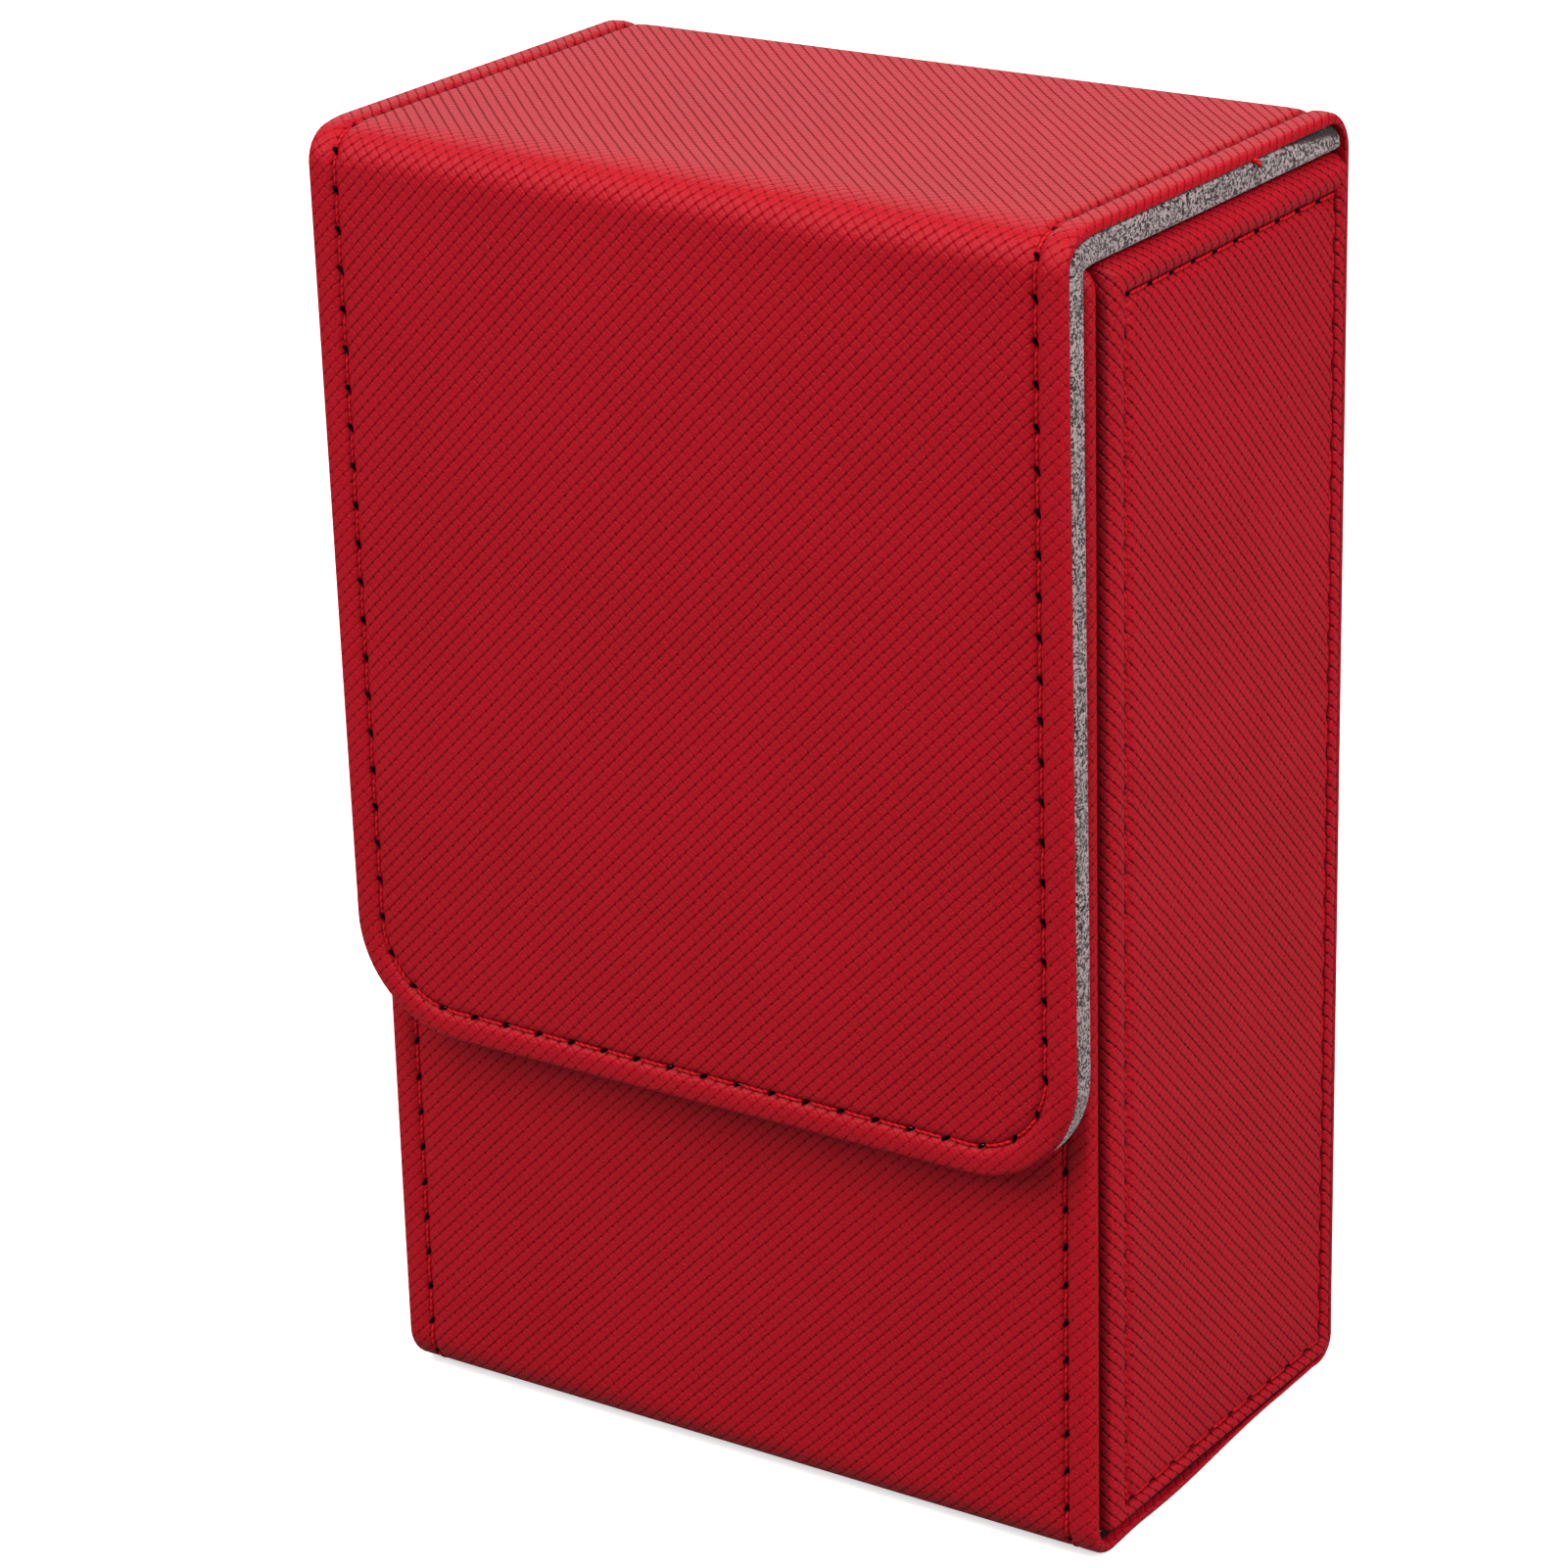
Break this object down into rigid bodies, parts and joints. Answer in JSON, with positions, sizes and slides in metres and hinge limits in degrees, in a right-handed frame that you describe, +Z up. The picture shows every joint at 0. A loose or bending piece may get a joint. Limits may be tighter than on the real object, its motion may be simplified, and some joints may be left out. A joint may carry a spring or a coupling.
{
  "type": "card deck box",
  "caption": "Upright deck box in stitched synthetic leather over board, with a hinged lid and a magnetic front flap, for a deck of tall cards.",
  "frame": {"origin": "centre of the underside of the box body", "axes": "+Z up, -Y to the front where the flap hangs, +X to the right seen from the front"},
  "size_m": [0.0826, 0.0517, 0.1312],
  "materials": {
    "red_leather": "fine diagonal grain",
    "grey_microfibre": "short speckled pile",
    "greyboard": "uncoated",
    "red_thread": "twisted thread",
    "magnet": "nickel plated"
  },
  "bodies": {
    "box": {"front_board": "greyboard", "back_board": "greyboard", "bottom_board": "greyboard", "left_side_board": "greyboard", "right_side_board": "greyboard", "body_cover": "red_leather", "left_side_cover": "red_leather", "right_side_cover": "red_leather", "front_lining": "grey_microfibre", "back_lining": "grey_microfibre", "bottom_lining": "grey_microfibre", "left_side_lining": "grey_microfibre", "right_side_lining": "grey_microfibre", "front_magnets": "magnet", "body_thread": "red_thread", "left_side_thread": "red_thread", "right_side_thread": "red_thread"},
    "rear_hinge": {"rear_hinge_cover": "red_leather", "rear_hinge_lining": "grey_microfibre"},
    "lid": {"lid_board": "greyboard", "lid_cover": "red_leather", "lid_lining": "grey_microfibre", "lid_thread": "red_thread", "front_fold_cover": "red_leather", "front_fold_lining": "grey_microfibre"},
    "flap": {"flap_board": "greyboard", "flap_cover": "red_leather", "flap_lining": "grey_microfibre", "flap_magnets": "magnet", "flap_thread": "red_thread"}
  },
  "joints": [
    {"name": "lid_hinge", "type": "hinge", "parent": "box", "child": "rear_hinge", "pos_m": [0, 0.02312, 0.12794], "axis": [-1, 0, 0], "range_deg": [0, 120], "deforming": ["rear_hinge_cover", "rear_hinge_lining"]},
    {"name": "lid_hinge_upper", "type": "hinge", "parent": "rear_hinge", "child": "lid", "pos_m": [0, 0.02054, 0.13052], "axis": [-1, 0, 0], "range_deg": [0, 120]},
    {"name": "flap_fold", "type": "hinge", "parent": "lid", "child": "flap", "pos_m": [0, -0.0261, 0.1292], "axis": [-1, 0, 0], "range_deg": [0, 95], "deforming": ["front_fold_cover", "front_fold_lining"]}
  ],
  "couplings": [
    {"joint": "lid_hinge_upper", "follows": "lid_hinge", "ratio": 1}
  ]
}
